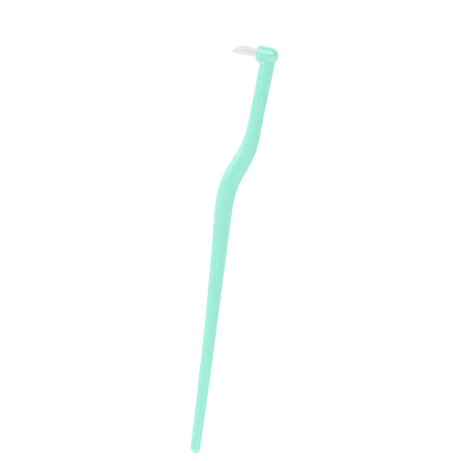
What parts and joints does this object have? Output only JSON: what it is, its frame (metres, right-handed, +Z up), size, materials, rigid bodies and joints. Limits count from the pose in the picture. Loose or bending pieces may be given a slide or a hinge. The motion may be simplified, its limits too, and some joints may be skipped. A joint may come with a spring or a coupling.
{
  "type": "orthodontic toothbrush",
  "caption": "Slim orthodontic brush: moulded tapered handle with an S-bend, thin neck and round drum head, and a pointed filament tuft set square to the neck.",
  "frame": {"origin": "middle of the brush's box, on the surface that the brush lies on", "axes": "+Y along the handle to the head, -X the way the tuft points, +Z up from the surface, with the S-bend in the XY plane"},
  "size_m": [0.0184, 0.1602, 0.0062],
  "materials": {
    "handle": "moulded mint polypropylene, semi-gloss",
    "anchor": "cropped flat wire, plain",
    "tuft": "natural white nylon filaments, trimmed to a point"
  },
  "bodies": {
    "root": {"handle": "handle", "anchor": "anchor", "tuft": "tuft"}
  },
  "joints": []
}
